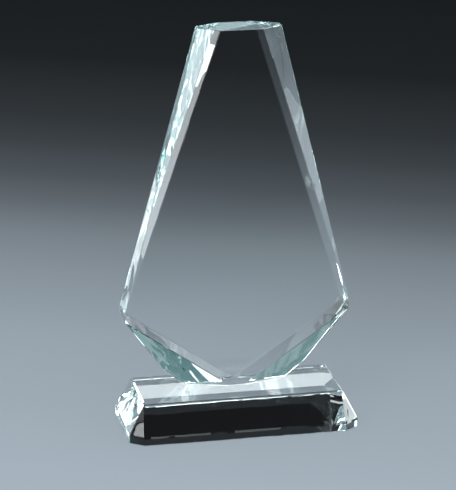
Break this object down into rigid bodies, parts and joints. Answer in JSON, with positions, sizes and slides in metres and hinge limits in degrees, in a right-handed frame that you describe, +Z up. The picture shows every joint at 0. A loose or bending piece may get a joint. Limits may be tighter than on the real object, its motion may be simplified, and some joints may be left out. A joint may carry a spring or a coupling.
{
  "type": "crystal award",
  "caption": "Upright faceted crystal award plaque with a cut-off top, wide side corners and tapering bevels, bonded onto a low bevelled crystal base block.",
  "frame": {"origin": "middle of the base block's underside, where the award stands on a surface", "axes": "+Z up, +X along the base block's length to the right as the award is read, the plaque's front face looks along -Y"},
  "size_m": [0.132, 0.056, 0.23],
  "materials": {
    "base_crystal": "clear optical crystal, all faces and bevels polished",
    "cured_adhesive": "clear UV-cured bonding film, as clear as the crystal",
    "plaque_crystal": "clear optical crystal, all faces and bevels polished"
  },
  "bodies": {
    "root": {"base_block": "base_crystal", "adhesive_film": "cured_adhesive", "plaque": "plaque_crystal"}
  },
  "joints": []
}
